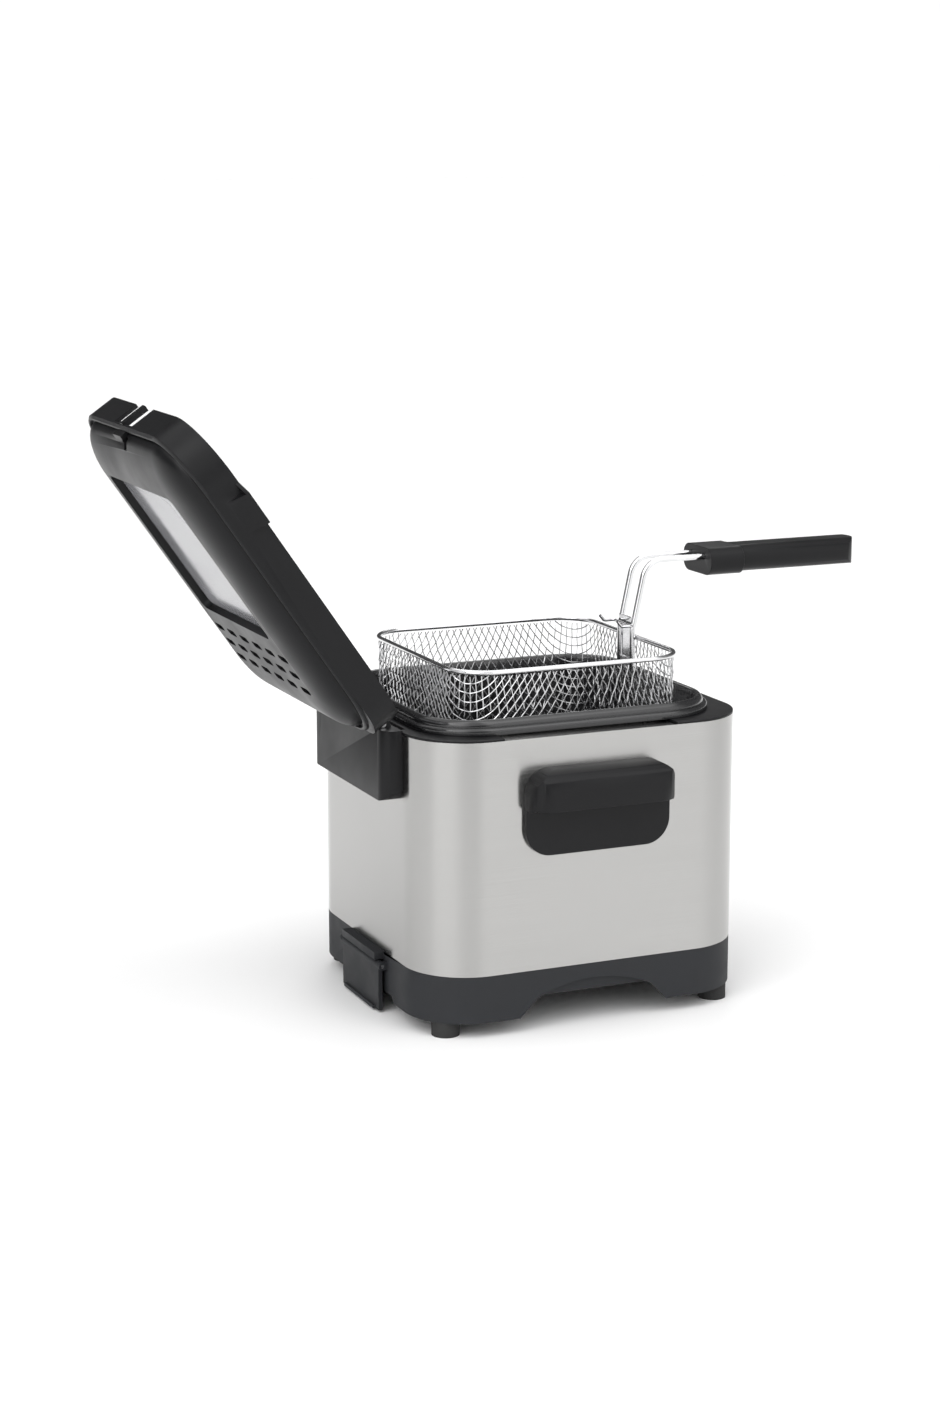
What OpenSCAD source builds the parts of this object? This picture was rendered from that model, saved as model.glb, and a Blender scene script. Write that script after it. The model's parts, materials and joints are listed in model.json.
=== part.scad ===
// Compact deep fryer: steel body, hinged lid with a window, lift-up wire basket, carry handles.
// The origin is on the table, under the centre of the body. The control end faces -Y.

/* [Body] */
// Width of the body, across the sides that carry the handles
body_w = 211; // [176:1:254]
// Length of the body, from the control end to the hinge end
body_l = 228; // [190:1:274]
// Corner radius of the body in plan
body_r = 42; // [35:1:46]
// Height of the feet
foot_h = 9.8; // [8:0.1:12]
// Height of the plastic base
base_h = 30.7; // [28:0.1:37]
// Height of the steel wrapper
steel_h = 150; // [125:1:180]
// Thickness of the steel wrapper
steel_t = 1; // [0.6:0.1:1.2]
// Wall thickness of the plastic base
base_t = 3; // [2.4:0.1:3.6]
// Diameter of a foot
foot_d = 18; // [15:0.5:20]
// Thickness of the end caps on the deck
cap_t = 1.4; // [1:0.1:1.7]

/* [Pot] */
// Distance from the side of the body to the inside of the pot
pot_margin_w = 19.5; // [18:0.5:24]
// Distance from the end of the body to the inside of the pot
pot_margin_l = 20; // [19:0.5:25]
// Corner radius inside the pot
pot_r = 34; // [28:1:38]
// Thickness of the pot
pot_t = 1.5; // [1.2:0.1:1.8]
// Height of the pot floor above the base
pot_floor_gap = 13; // [12:0.5:16]
// Height of the rolled rim above the deck caps
pot_rim_h = 9.2; // [7.7:0.1:9.6]

/* [Basket] */
// Clearance from the basket wire to the sides of the pot
basket_gap_w = 6; // [5:0.5:8]
// Clearance from the basket wire to the ends of the pot
basket_gap_l = 15; // [12:0.5:18]
// Corner radius of the basket
basket_r = 26; // [22:1:31]
// Diameter of the rim wire
rim_d = 3.2; // [2.7:0.1:3.8]
// Diameter of the handle rods
rod_d = 4; // [3.4:0.1:4.4]
// Distance between the two handle rods
rod_pitch = 18; // [15:0.5:21]
// Height of the rods above the rim wire
rod_rise = 51.5; // [43:0.5:61]
// Height that the basket is lifted to drain
basket_lift = 76.3; // [64:0.1:80]
// Clearance under the basket when it is down
basket_floor_gap = 5; // [4:0.5:8]
// Length of the handle grip
grip_l = 93; // [78:1:111]
// Height of the handle grip
grip_h = 18; // [15:0.5:21]

/* [Lid] */
// Distance that the lid stands in from the sides of the body
lid_inset = 3; // [2.5:0.5:4]
// Distance that the lid overhangs the control end
lid_overhang = 3.5; // [3:0.5:5]
// Corner radius of the lid at its front
lid_r = 40; // [36:1:44]
// Corner radius of the lid at its hinge end
lid_rear_r = 26; // [21:1:32]
// Height of the upright band round the lid
lid_band_h = 20; // [18:0.5:24]
// Distance that the lid stops short of the hinge end of the body
lid_short = 4; // [3:0.5:5]
// Height of the crown above the band
lid_crown_h = 12.3; // [10.5:0.1:14.5]
// Wall thickness of the lid
lid_t = 2.5; // [2:0.1:3]
// Angle that the lid opens to
lid_open = 124.7; // [104:0.1:124.7]
// Width of the handle notch in the front edge of the lid
notch_w = 36; // [33:0.5:43]
// Number of vent slots in a row
vent_count = 6; // [4:1:6]
// Length of a vent slot
vent_l = 15; // [12.5:0.5:17]

/* [Hinge] */
// Depth of the hinge bracket behind the body
bracket_d = 13; // [12:0.5:15]
// Width of the hinge bracket
bracket_w = 127; // [116:1:140]
// Height of the hinge bracket
bracket_h = 45.5; // [38:0.1:54]
// Radius of a hinge pin
hinge_pin_r = 2; // [1.7:0.1:2.4]
// Running clearance round a pin
pin_gap = 0.05; // [0.02:0.01:0.08]

/* [Carry handles] */
// Width of a carry handle
carry_w = 100; // [84:1:120]
// Height of a carry handle
carry_h = 56; // [50:1:66]
// Distance that a carry handle stands out from the body
carry_d = 20; // [18:0.5:24]
// Height of the top of a carry handle under the deck
carry_drop = 19; // [16:0.5:23]

/* [Controls] */
// Diameter of the temperature knob
knob_d = 38; // [32:0.5:45]
// Depth of the temperature knob
knob_h = 16; // [13.5:0.5:19]
// Height of the knob's centre above the base
knob_rise = 64; // [56:1:70]

/* [Hidden] */
$fn = 48;
fit = 0.3;
touch = 0.01;
bead = 1.08;
hw = body_w / 2;
hl = body_l / 2;
z_steel = foot_h + base_h;
z_deck = z_steel + steel_h;
z_cap = z_deck + cap_t;
z_lid = z_cap + 0.5;

// Pot
pot_hw = hw - pot_margin_w;
pot_hl = hl - pot_margin_l;
pot_y = 2;
z_floor = z_steel + pot_floor_gap;
z_crest = z_cap + pot_rim_h;
pot_taper = 4;
pot_fillet = 10;
lip_out = 9;
well_gap = 1;

// Basket
basket_hw = pot_hw - basket_gap_w;
basket_hl = pot_hl - basket_gap_l;
z_rods_down = z_crest + rod_d / 2 + 0.5;
z_rods = z_rods_down + basket_lift;
z_rim = z_rods - rod_rise;
z_rim_down = z_rim - basket_lift;
basket_h = z_rim_down - z_floor - basket_floor_gap;
mesh_t = 0.7;
mesh_fillet = 12;
rod_y = pot_y - basket_hl + rim_d / 2 + rod_d / 2 + 0.2;
rod_tilt = 12;
rod_bend = 14;
grip_y = -hl - 12;
flange_l = 25;
flange_h = 18.5;
flange_w = 40;
grip_drop = 3;
rod_in_grip = 30;

// Lid, drawn closed and turned about the hinge to its open place
lid_hw = hw - lid_inset;
lid_front = -hl - lid_overhang;
lid_back = hl - lid_short;
lid_hl = (lid_back - lid_front) / 2;
lid_y = (lid_back + lid_front) / 2;
lid_h = lid_band_h + lid_crown_h;
groove_in = 3;
groove_w = 2;
groove_deep = 2.2;
crown_in = 31;
flat_in = groove_in + groove_w + crown_in;
hinge_y = hl + 8;
hinge_z = z_lid + 3.1;
liner_t = 1;
liner_z = 14;
window_hw = lid_hw - flat_in - 2.5;
window_front = lid_front + flat_in + 1;
vent_field = 46.4;
window_back = lid_back - flat_in - vent_field;
window_r = 6;
window_deep = 5;
glass_t = 3;
gasket_t = 0.8;
ledge = 5.5;
well_t = 2;
vent_w = 5;
vent_pitch_x = (2 * window_hw - vent_l) / (vent_count - 1) * 1.07;
vent_pitch_y = 12.7;
vent_y = window_back + 15.5;
vent_rows = 3;
filter_hw = (vent_count - 1) * vent_pitch_x / 2 + vent_l / 2 - 6;
filter_hl = vent_pitch_y + 8;
filter_y = vent_y + vent_pitch_y;
post_in = 22;
post_r = 3.5;
rib_w = 6;
latch_w = 16;
latch_l = 12;
latch_rise = 4.5;

// Hinge
knuckle_r = 5;
ear_w = 7;
knuckle_w = 14;
ear_gap = 0.6;
knuckle_x = bracket_w * 0.29;
bracket_top = z_lid + 0.6;
bracket_r = 10;
bracket_wall = 3;
arm_h = 8.1;
pin_l = knuckle_w + 2 * ear_w + 2 * ear_gap;

// Carry handles
carry_top = z_deck - carry_drop;
carry_bottom = carry_top - carry_h;
carry_r = 17;
plate_t = 4;
hood_h = 24.5;
hood_t = 4;
hood_r = 13;
screw_r = 1.8;
head_r = 3.6;
head_h = 2;
carry_screw_y = carry_w / 2 - 18;
carry_screw_z = carry_top - 9;

// Base
foot_x = hw - body_r + (body_r - foot_d / 2) * cos(45);
foot_y = hl - body_r + (body_r - foot_d / 2) * cos(45);
z_plate = foot_h + 12.5;
plate_gauge = 1.5;
upstand = 10;
arch_half = 52;
arch_flank = 12;
arch_top = 21;
rear_arch_half = 46;
rear_arch_top = 4;

// Cord compartment and its flap at the foot of the hinge end
flap_hw = 32;
flap_t = 3;
flap_bottom = foot_h - 8.3;
flap_axis_y = hl + 3.3;
flap_axis_z = z_steel - 8.5;
flap_knuckle_r = 2.6;
flap_pin_r = 1.2;
bar_hw = 29;
bar_out = 6.5;
box_hw = 25;
box_deep = 26;
box_t = 1.5;
box_bottom = foot_h + 1.5;
box_top = flap_axis_z - 3.5;
gland_r = 5;
gland_bore_r = 3.5;
gland_z = (box_bottom + box_top) / 2;

// Controls
knob_z = z_steel + knob_rise;
panel_hw = 45;
panel_bottom = knob_z - 36;
panel_top = knob_z + 42;
panel_t = 3;
panel_r = 12;
shaft_r = 3;
lens_r = 3;
lens_x = 14;
lens_z = knob_z + 32;
knob_gap = 0.8;

// Colours
steel = [0.78, 0.78, 0.77];
black = [0.13, 0.13, 0.14];
charcoal = [0.2, 0.2, 0.22];
chrome = [0.85, 0.85, 0.87];
bright = [0.7, 0.7, 0.72];
brass = [0.75, 0.62, 0.32];

// A rounded rectangle of half sizes x and y with corner radius r
module plan(x, y, r) {
    square([2 * x, 2 * (y - r)], center = true);
    square([2 * (x - r), 2 * y], center = true);
    for (i = [-1, 1], j = [-1, 1]) translate([i * (x - r), j * (y - r)]) circle(r = r);
}

// A profile carried round a rounded rectangle whose corner centres lie at x and y
module carry_round(x, y) {
    for (i = [0, 1], j = [0, 1]) mirror([i, 0, 0]) mirror([0, j, 0])
        translate([x, y, 0]) rotate_extrude(angle = 90) children();
    for (i = [0, 1]) {
        mirror([i, 0, 0]) translate([x, y, 0]) rotate([90, 0, 0]) linear_extrude(2 * y) children();
        mirror([0, i, 0]) translate([-x, y, 0]) rotate([90, 0, 90]) linear_extrude(2 * x) children();
    }
}

// Points along an arc about c
function arc(c, r, from, to, steps = 6) =
    [for (i = [0:steps]) let (a = from + (to - from) * i / steps) c + r * [cos(a), sin(a)]];

// A round bar that starts along +Z and follows steps of [straight, angle, radius], each bend towards -Y.
// It swells a little at each end of a bend, as drawn wire does.
module bent_bar(d, steps, k = 0) {
    straight = steps[k][0];
    angle = steps[k][1];
    r = steps[k][2];
    cylinder(h = straight, d = d);
    if (angle > 0) translate([0, -r, straight]) {
        translate([0, r, 0]) sphere(d = d * bead);
        rotate([90, 0, 90]) rotate_extrude(angle = angle) translate([r, 0]) circle(d = d);
        if (k + 1 < len(steps)) rotate([angle, 0, 0]) translate([0, r, 0]) {
            sphere(d = d * bead);
            bent_bar(d, steps, k + 1);
        }
    }
}

// A cylinder along X, centred on x
module rod_x(x, y, z, r, length) {
    translate([x - length / 2, y, z]) rotate([0, 90, 0]) cylinder(h = length, r = r);
}

// A cylinder along Y, from y towards the rear
module rod_y_dir(x, y, z, r, length) {
    translate([x, y, z]) rotate([-90, 0, 0]) cylinder(h = length, r = r);
}

// A slab of the plan outline, inset by i, from z upwards
module slab(i, z, height) {
    translate([0, 0, z]) linear_extrude(height) plan(hw - i, hl - i, body_r - i);
}

// The deck opening that the pot hangs in
module pot_well(z, height) {
    g = pot_t + well_gap;
    translate([0, pot_y, z]) linear_extrude(height) plan(pot_hw + g, pot_hl + g, pot_r + g);
}

module at_feet() {
    for (i = [-1, 1], j = [-1, 1]) translate([i * foot_x, j * foot_y, 0]) children();
}

// Turns what is drawn on the closed lid to the lid's open place
module opened() {
    translate([0, hinge_y, hinge_z]) rotate([-lid_open, 0, 0]) translate([0, -hinge_y, -hinge_z])
        children();
}

// ---- Body ----

module steel_shell() {
    color(steel) difference() {
        slab(0, z_steel, steel_h);
        slab(steel_t, z_steel - touch, steel_h - steel_t + touch);
        pot_well(z_deck - 2 * steel_t, 3 * steel_t);
        rod_y_dir(0, -hl - 1, knob_z, shaft_r + 1.5, steel_t + 2);
        for (i = [-1, 1]) {
            rod_y_dir(i * lens_x, -hl - 1, lens_z, lens_r, steel_t + 2);
            rod_y_dir(i * bracket_w / 3.2, hl - steel_t - 1, bracket_top - 22, screw_r, steel_t + 2);
            for (j = [-1, 1])
                rod_x(i * (hw - steel_t / 2), j * carry_screw_y, carry_screw_z, screw_r, steel_t + 2);
        }
    }
}

// Cut through both long sides: flanks at 45 degrees under a flat arch
module side_arches() {
    rise = arch_top - arch_flank;
    half = arch_half - arch_flank;
    r = (half * half + rise * rise) / (2 * rise);
    a = asin(half / r);
    outline = concat([[-arch_half - 1, -1], [arch_half + 1, -1]],
        arc([0, arch_top - r], r, 90 - a, 90 + a, 12));
    translate([-hw - 1, 0, foot_h]) rotate([90, 0, 90]) linear_extrude(body_w + 2) polygon(outline);
}

module rear_arch() {
    outline = [[-rear_arch_half - 1, -1], [rear_arch_half + 1, -1],
        [rear_arch_half - rear_arch_top, rear_arch_top],
        [-rear_arch_half + rear_arch_top, rear_arch_top]];
    translate([0, hl + 1, foot_h]) rotate([90, 0, 0]) linear_extrude(base_t + 2) polygon(outline);
}

module base() {
    lip = steel_t + fit;
    color(charcoal) difference() {
        union() {
            difference() {
                union() {
                    slab(0, foot_h, base_h);
                    slab(lip, z_steel - touch, 5);
                }
                slab(base_t, foot_h - 1, base_h - 1);
                slab(lip + 2.2, foot_h - 1, base_h + 8);
            }
            at_feet() translate([0, 0, foot_h]) cylinder(h = z_plate - foot_h, r = foot_d / 2);
            // shelter over the flap's hinge, with an ear at each end
            translate([-bar_hw, hl - 1, flap_axis_z + flap_knuckle_r + 0.6])
                cube([2 * bar_hw, bar_out + 1, 5]);
            for (i = [-1, 1]) flap_ear(i);
        }
        side_arches();
        rear_arch();
        at_feet() translate([0, 0, foot_h - 1]) cylinder(h = base_h, r = screw_r + 0.3);
        translate([-box_hw, hl - base_t - 1, box_bottom])
            cube([2 * box_hw, base_t + 2, box_top - box_bottom]);
        for (i = [-1, 1]) rod_x(i * (flap_hw + 1.8), flap_axis_y, flap_axis_z, flap_pin_r, 8);
    }
}

// An ear that holds one end of the flap's pin
module flap_ear(side) {
    x = side * (flap_hw + 1.8);
    rod_x(x, flap_axis_y, flap_axis_z, flap_knuckle_r, 3);
    translate([x - 1.5, hl - 1, flap_axis_z - flap_knuckle_r])
        cube([3, flap_axis_y - hl + 1, 2 * flap_knuckle_r]);
}

module bottom_plate() {
    i = base_t + 2 * fit;
    color(charcoal) difference() {
        slab(i, z_plate, upstand);
        slab(i + plate_gauge, z_plate + plate_gauge, upstand);
        at_feet() translate([0, 0, z_plate - 1]) cylinder(h = 4, r = screw_r);
        translate([-box_hw - box_t - 1, hl - box_deep - 7, z_plate - 1])
            cube([2 * (box_hw + box_t + 1), box_deep + 8, upstand + 2]);
    }
}

module foot(x, y) {
    color(black) translate([x, y, 0]) difference() {
        cylinder(h = foot_h, r = foot_d / 2);
        translate([0, 0, -1]) cylinder(h = foot_h / 2 + 1, r = head_r + 0.4);
        cylinder(h = foot_h + 1, r = screw_r + 0.3);
    }
}

module front_left_foot() {
    foot(-foot_x, -foot_y);
}

module front_right_foot() {
    foot(foot_x, -foot_y);
}

module rear_left_foot() {
    foot(-foot_x, foot_y);
}

module rear_right_foot() {
    foot(foot_x, foot_y);
}

module foot_screws() {
    color(bright) at_feet() translate([0, 0, foot_h / 2 - head_h]) {
        cylinder(h = head_h, r = head_r);
        cylinder(h = z_plate + plate_gauge + 2 - foot_h / 2 + head_h, r = screw_r);
    }
}

// ---- Deck ----

front_cap_y = -hl / 2;
rear_cap_y = hl - 51;

module end_cap(from, to) {
    intersection() {
        slab(0, z_deck, cap_t);
        translate([-hw, from, z_deck]) cube([body_w, to - from, cap_t]);
    }
}

module front_cap() {
    color(black) difference() {
        end_cap(-hl, front_cap_y);
        pot_well(z_deck - 1, cap_t + 2);
    }
}

module rear_cap() {
    color(black) difference() {
        end_cap(rear_cap_y, hl);
        pot_well(z_deck - 1, cap_t + 2);
        translate([-bracket_w / 2 + 8, hl - 5, z_deck - 1]) cube([bracket_w - 16, 6, cap_t + 2]);
    }
}

// ---- Pot and heater ----

pot_ix = pot_hw - pot_r;
pot_iy = pot_hl - pot_r;

// Section of the pot wall, measured out from a corner centre: up the inside, over the rolled rim, back down
module pot_section() {
    r = pot_r;
    t = pot_t;
    turn = [r - pot_taper - pot_fillet, z_floor + pot_fillet];
    inner = concat([[0, z_floor]], arc(turn, pot_fillet, -90, 0), [[r, z_crest - 3]],
        arc([r + 3, z_crest - 3], 3, 180, 70, 5));
    rim = [[r + 5.6, z_crest - 2], [r + 6.4, z_crest - 4.2], [r + 6.2, z_crest - 4.8]];
    lip = concat(arc([r + 6.8, z_crest - 6.8], 2.2, 80, 0, 4), [[r + lip_out, z_cap]]);
    under = [[r + lip_out - t, z_cap], [r + lip_out - t, z_crest - 6.8], [r + 5.2, z_crest - 6.6],
        [r + 4.6, z_crest - 3.6], [r + 3.4, z_crest - t]];
    outer = concat([[r + t, z_crest - 4]], arc(turn, pot_fillet + t, 0, -90), [[0, z_floor - t]]);
    polygon(concat(inner, rim, lip, under, outer));
}

module pot() {
    color([0.08, 0.08, 0.09]) translate([0, pot_y, 0]) {
        carry_round(pot_ix, pot_iy) pot_section();
        translate([-pot_ix, -pot_iy, z_floor - pot_t]) cube([2 * pot_ix, 2 * pot_iy, pot_t]);
    }
}

heater_d = 7;
heater_r = min(pot_hw, pot_hl) - 34;
z_heater = z_floor - pot_t - heater_d / 2;
heater_open = 40;

module heating_element() {
    end_x = heater_r * sin(heater_open / 2);
    end_y = heater_r * cos(heater_open / 2);
    color([0.35, 0.34, 0.33]) translate([0, pot_y, 0]) {
        translate([0, 0, z_heater]) rotate([0, 0, 90 + heater_open / 2])
            rotate_extrude(angle = 360 - heater_open) translate([heater_r, 0]) circle(d = heater_d);
        // cold ends, in sleeves, with a terminal pin under each
        for (i = [-1, 1]) translate([i * end_x, end_y, 0]) {
            translate([0, 0, z_heater - 11]) cylinder(h = 14, d = heater_d + 1.4);
            translate([0, 0, z_heater - 16]) cylinder(h = 6, d = 3);
        }
    }
}

z_clamp = z_heater - heater_d / 2 - 2;

module element_clamp() {
    color(bright) translate([0, pot_y, 0]) difference() {
        for (a = [0, 90]) rotate([0, 0, a])
            translate([-heater_r - 8, -7, z_clamp]) cube([2 * heater_r + 16, 14, 2]);
        translate([0, 0, z_clamp - 1]) cylinder(h = 4, r = 2.5);
    }
}

module clamp_stud() {
    color(bright) translate([0, pot_y, 0]) {
        translate([0, 0, z_clamp - 7]) cylinder(h = z_floor - pot_t - z_clamp + 7, r = 2.4);
        translate([0, 0, z_clamp - 4]) cylinder(h = 4, r = 4.5);
    }
}

shield_in = 24;
z_shield = z_steel - 4;

module heat_shield() {
    color(bright) difference() {
        slab(shield_in, z_shield, 6);
        slab(shield_in + 1, z_shield + 1, 6);
        translate([0, pot_y, z_shield - 1]) cylinder(h = 3, r = 3);
        for (i = [-1, 1])
            translate([i * heater_r * sin(heater_open / 2), pot_y, z_shield - 1])
                translate([0, heater_r * cos(heater_open / 2), 0]) cylinder(h = 3, r = 4);
    }
}

thermostat_d = 12;

module thermostat() {
    y = -hl + steel_t + fit;
    color([0.8, 0.78, 0.7]) difference() {
        union() {
            translate([-16, y, knob_z - 14]) cube([32, thermostat_d, 28]);
            for (i = [-1, 1]) translate([i * 8 - 3, y + 3, knob_z - 20]) cube([6, 1, 7]);
        }
        rod_y_dir(0, y - 1, knob_z, shaft_r + pin_gap, thermostat_d - 1);
    }
}

cutout_r = 8;
cutout_rise = 60;

module thermal_cutout() {
    wall_h = z_crest - 3 - z_floor - pot_fillet;
    lean = pot_taper * (1 - (cutout_rise + cutout_r - pot_fillet) / wall_h);
    color([0.3, 0.25, 0.2])
        rod_y_dir(0, pot_y + pot_hl + pot_t - lean + 0.1, z_floor + cutout_rise, cutout_r, 6);
}

module terminal_block() {
    y = pot_y + heater_r * cos(heater_open / 2) + heater_d / 2 + 1.6;
    color([0.85, 0.84, 0.8]) difference() {
        translate([-22, y, z_plate + plate_gauge]) cube([44, 16, z_shield - z_plate - plate_gauge - 3]);
        for (i = [-1, 0, 1]) rod_y_dir(i * 13, y - 1, z_plate + plate_gauge + 4, 1.6, 18);
    }
}

// ---- Controls ----

module control_panel() {
    color(black) difference() {
        translate([0, -hl, (panel_top + panel_bottom) / 2]) rotate([90, 0, 0]) linear_extrude(panel_t)
            plan(panel_hw, (panel_top - panel_bottom) / 2, panel_r);
        rod_y_dir(0, -hl - panel_t - 1, knob_z, shaft_r + 1, panel_t + 2);
        for (i = [-1, 1]) rod_y_dir(i * lens_x, -hl - panel_t - 1, lens_z, lens_r, panel_t + 2);
    }
}

// Light pipe with a domed face that stands just proud of the panel
module lens(x) {
    rod_y_dir(x, -hl - panel_t, lens_z, lens_r, panel_t + steel_t + 6);
    translate([x, -hl - panel_t, lens_z]) sphere(r = 1.6);
}

module power_lens() {
    color("red") lens(-lens_x);
}

module ready_lens() {
    color("green") lens(lens_x);
}

shaft_in_knob = knob_h - 5;

module control_shaft() {
    back = -hl + steel_t + fit + thermostat_d - 3;
    front = -hl - panel_t - knob_gap - shaft_in_knob;
    color(brass) rod_y_dir(0, front, knob_z, shaft_r, back - front);
}

module knob() {
    front = -hl - panel_t - knob_gap;
    color(black) difference() {
        union() {
            rod_y_dir(0, front - 5, knob_z, knob_d / 2, 5);
            rod_y_dir(0, front - knob_h, knob_z, knob_d / 2 - 3, knob_h);
            translate([-4, front - knob_h - 2, knob_z - knob_d / 2 + 3]) cube([8, knob_h, knob_d - 6]);
        }
        rod_y_dir(0, front - shaft_in_knob, knob_z, shaft_r, shaft_in_knob + 1);
    }
}

// ---- Hinge ----

module at_knuckles() {
    for (i = [-1, 1]) translate([i * knuckle_x, 0, 0]) children();
}

ear_x = knuckle_w / 2 + ear_gap + ear_w / 2;

module hinge_bracket() {
    z0 = bracket_top - bracket_h;
    color(black) difference() {
        union() {
            difference() {
                intersection() {
                    translate([0, hl + bracket_d / 2 - bracket_r, z0 - 1]) linear_extrude(bracket_h + 2)
                        plan(bracket_w / 2, bracket_d / 2 + bracket_r, bracket_r);
                    translate([0, hl + bracket_d, (z0 + bracket_top + bracket_r) / 2])
                        rotate([90, 0, 0]) linear_extrude(bracket_d)
                            plan(bracket_w / 2, (bracket_h + bracket_r) / 2, bracket_r);
                    translate([-hw, hl, z0]) cube([body_w, bracket_d, bracket_h]);
                }
                translate([-bracket_w / 2 + bracket_wall, hl - 1, z0 + bracket_wall])
                    cube([bracket_w - 2 * bracket_wall, bracket_d - bracket_wall - 5, bracket_h - 13]);
                at_knuckles() translate([-knuckle_w / 2 - ear_gap, hl - 1, hinge_z - knuckle_r - ear_gap])
                    cube([knuckle_w + 2 * ear_gap, bracket_d + 2, knuckle_r]);
            }
            at_knuckles() for (i = [-1, 1]) {
                rod_x(i * ear_x, hinge_y, hinge_z, knuckle_r, ear_w);
                translate([i * ear_x - ear_w / 2, hinge_y - knuckle_r, bracket_top - 3])
                    cube([ear_w, knuckle_r + 2.3, hinge_z - bracket_top + 3]);
            }
        }
        at_knuckles() rod_x(0, hinge_y, hinge_z, hinge_pin_r, pin_l + 4);
        for (i = [-1, 1]) rod_y_dir(i * bracket_w / 3.2, hl - 1, bracket_top - 22, screw_r, 9);
    }
}

module left_hinge_pin() {
    color(chrome) rod_x(-knuckle_x, hinge_y, hinge_z, hinge_pin_r, pin_l);
}

module right_hinge_pin() {
    color(chrome) rod_x(knuckle_x, hinge_y, hinge_z, hinge_pin_r, pin_l);
}

// Each is put in from inside the body
module bracket_screws() {
    color(bright) for (i = [-1, 1]) {
        rod_y_dir(i * bracket_w / 3.2, hl - steel_t, bracket_top - 22, screw_r, steel_t + 7);
        rod_y_dir(i * bracket_w / 3.2, hl - steel_t - head_h, bracket_top - 22, head_r, head_h);
    }
}

// ---- Carry handles ----

// Side view of the hood: a flat top that rolls over to an upright front
module hood_outline(inset) {
    d = carry_d - inset;
    r = hood_r - inset;
    skirt = inset > 0 ? 5 : 0;
    translate([0, carry_top - hood_h - skirt]) square([d, hood_h - hood_r + skirt]);
    translate([0, carry_top - hood_r - touch]) square([d - r, r + touch]);
    translate([d - r, carry_top - hood_r]) circle(r = r);
}

module carry_handle() {
    z_mid = (carry_top + carry_bottom) / 2;
    color(black) difference() {
        union() {
            translate([hw, 0, z_mid]) rotate([90, 0, 90]) linear_extrude(plate_t)
                plan(carry_w / 2, carry_h / 2, carry_r);
            intersection() {
                translate([hw, carry_w / 2, 0]) rotate([90, 0, 0]) linear_extrude(carry_w) hood_outline(0);
                translate([hw, 0, z_mid]) rotate([90, 0, 90]) linear_extrude(carry_d)
                    plan(carry_w / 2, carry_h / 2, carry_r);
                translate([hw, 0, carry_bottom]) linear_extrude(carry_h)
                    plan(carry_d, carry_w / 2, hood_r);
            }
        }
        intersection() {
            translate([hw, carry_w / 2 - hood_t, 0]) rotate([90, 0, 0])
                linear_extrude(carry_w - 2 * hood_t) hood_outline(hood_t);
            translate([hw + plate_t, -carry_w / 2, carry_bottom]) cube([carry_d, carry_w, carry_h - 12]);
        }
        for (j = [-1, 1]) rod_x(hw + 4, j * carry_screw_y, carry_screw_z, screw_r, 12);
    }
}

module left_carry_handle() {
    mirror([1, 0, 0]) carry_handle();
}

module right_carry_handle() {
    carry_handle();
}

module handle_screws() {
    length = steel_t + 9;
    color(bright) for (i = [-1, 1], j = [-1, 1]) {
        rod_x(i * (hw - steel_t + length / 2), j * carry_screw_y, carry_screw_z, screw_r, length);
        rod_x(i * (hw - steel_t - head_h / 2), j * carry_screw_y, carry_screw_z, head_r, head_h);
    }
}

// ---- Lid ----

// Half section of the lid, measured out from a corner centre and up from its lower edge
module lid_section(inset) {
    x0 = lid_r - groove_in - groove_w - inset;
    z0 = lid_band_h - groove_deep - inset;
    rise = lid_crown_h + groove_deep;
    low = inset > 0 ? -1 : 0;
    band = inset > 0 ? [[lid_r - inset, low], [lid_r - inset, z0]] :
        [[lid_r, 0], [lid_r, lid_band_h - 1.5], [lid_r - 1.5, lid_band_h], [lid_r - groove_in, lid_band_h],
            [lid_r - groove_in, z0]];
    crown = [for (a = [0:7.5:90]) [x0 - crown_in * (1 - cos(a)), z0 + rise * sin(a)]];
    polygon(concat([[0, low]], band, crown, [[0, lid_h - inset]]));
}

module lid_body(inset) {
    x = lid_hw - lid_r;
    y = lid_hl - lid_r;
    low = inset > 0 ? -1 : 0;
    translate([0, lid_y, z_lid]) {
        carry_round(x, y) lid_section(inset);
        translate([-x, -y, low]) cube([2 * x, 2 * y, lid_h - inset - low]);
        // the band is squarer at the hinge end than at the front
        translate([0, 0, low]) linear_extrude(lid_band_h - groove_deep - inset - low) intersection() {
            plan(lid_hw - inset, lid_hl - inset, lid_rear_r - inset);
            translate([-lid_hw, 0]) square([2 * lid_hw, lid_hl]);
        }
    }
}

module window_plan(i) {
    translate([0, (window_front + window_back) / 2])
        plan(window_hw - i, (window_back - window_front) / 2 - i, max(1, window_r - i));
}

module stadium(x, y, length, width) {
    translate([x, y]) {
        square([length - width, width], center = true);
        for (i = [-1, 1]) translate([i * (length - width) / 2, 0]) circle(d = width);
    }
}

module vents(length, width) {
    for (row = [0:vent_rows - 1], k = [0:vent_count - 1])
        stadium((k - (vent_count - 1) / 2) * vent_pitch_x, vent_y + row * vent_pitch_y, length, width);
}

module at_posts() {
    for (i = [-1, 1], y = [lid_front + post_in + 4, lid_back - post_in - 4])
        translate([i * (lid_hw - post_in), y, z_lid]) children();
}

glass_z = z_lid + lid_h - window_deep - glass_t;
well_z = glass_z - gasket_t - 2;

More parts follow.
